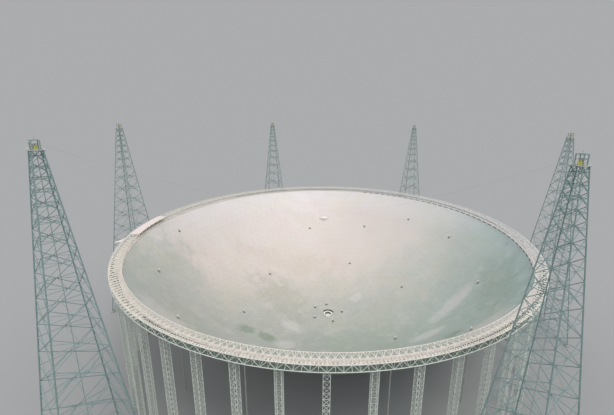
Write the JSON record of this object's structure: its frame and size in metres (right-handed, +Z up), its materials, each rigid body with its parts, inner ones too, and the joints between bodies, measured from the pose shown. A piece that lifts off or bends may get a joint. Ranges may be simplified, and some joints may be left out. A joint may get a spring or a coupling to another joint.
{
  "type": "spherical reflector radio telescope with cable-suspended feed cabin, scale model at 1:20",
  "caption": "Wide bowl reflector in a lattice ring girder on slender columns, with lattice towers that hold a feed cabin over it on cables",
  "frame": {"origin": "on the level floor, at the middle of the bounding box, under the axis of the reflector", "axes": "+Z up; +Y to the far side as the picture looks; +X to the picture's right, close to a line through two of the towers"},
  "size_m": [33.1892, 31.2702, 14.1962],
  "materials": {
    "reflector_panels": "perforated bare aluminium panels, weathered to a light warm grey",
    "girder_paint": "cream-white paint on steel tube, satin, lightly weathered",
    "tower_steel": "pale grey-green paint on galvanised steel",
    "cabin_paint": "white satin paint",
    "receiver_paint": "light grey paint",
    "cable_steel": "galvanised steel wire rope"
  },
  "bodies": {
    "root": {"reflector_inner_sector_1": "reflector_panels", "reflector_inner_sector_2": "reflector_panels", "reflector_inner_sector_3": "reflector_panels", "reflector_inner_sector_4": "reflector_panels", "reflector_inner_sector_5": "reflector_panels", "reflector_outer_sector_1": "reflector_panels", "reflector_outer_sector_2": "reflector_panels", "reflector_outer_sector_3": "reflector_panels", "reflector_outer_sector_4": "reflector_panels", "reflector_outer_sector_5": "reflector_panels", "reflector_outer_sector_6": "reflector_panels", "reflector_outer_sector_7": "reflector_panels", "reflector_outer_sector_8": "reflector_panels", "reflector_outer_sector_9": "reflector_panels", "reflector_outer_sector_10": "reflector_panels", "reflector_opening_rim": "girder_paint", "ring_girder_segment_1": "girder_paint", "ring_girder_segment_2": "girder_paint", "ring_girder_segment_3": "girder_paint", "ring_girder_segment_4": "girder_paint", "ring_girder_segment_5": "girder_paint", "ring_girder_segment_6": "girder_paint", "ring_girder_segment_7": "girder_paint", "ring_girder_segment_8": "girder_paint", "ring_girder_segment_9": "girder_paint", "ring_girder_segment_10": "girder_paint", "tower_1_lattice": "tower_steel", "tower_1_head": "tower_steel", "tower_2_lattice": "tower_steel", "tower_2_head": "tower_steel", "tower_3_lattice": "tower_steel", "tower_3_head": "tower_steel", "tower_4_lattice": "tower_steel", "tower_4_head": "tower_steel", "tower_5_lattice": "tower_steel", "tower_5_head": "tower_steel", "tower_6_lattice": "tower_steel", "tower_6_head": "tower_steel", "feed_cabin_star_frame": "cabin_paint", "feed_cabin_drum": "cabin_paint", "feed_cabin_receiver": "receiver_paint", "suspension_cable_1": "cable_steel", "suspension_cable_2": "cable_steel", "suspension_cable_3": "cable_steel", "suspension_cable_4": "cable_steel", "suspension_cable_5": "cable_steel", "suspension_cable_6": "cable_steel", "docking_platform_deck": "cabin_paint", "docking_platform_trestle": "girder_paint"}
  },
  "joints": []
}
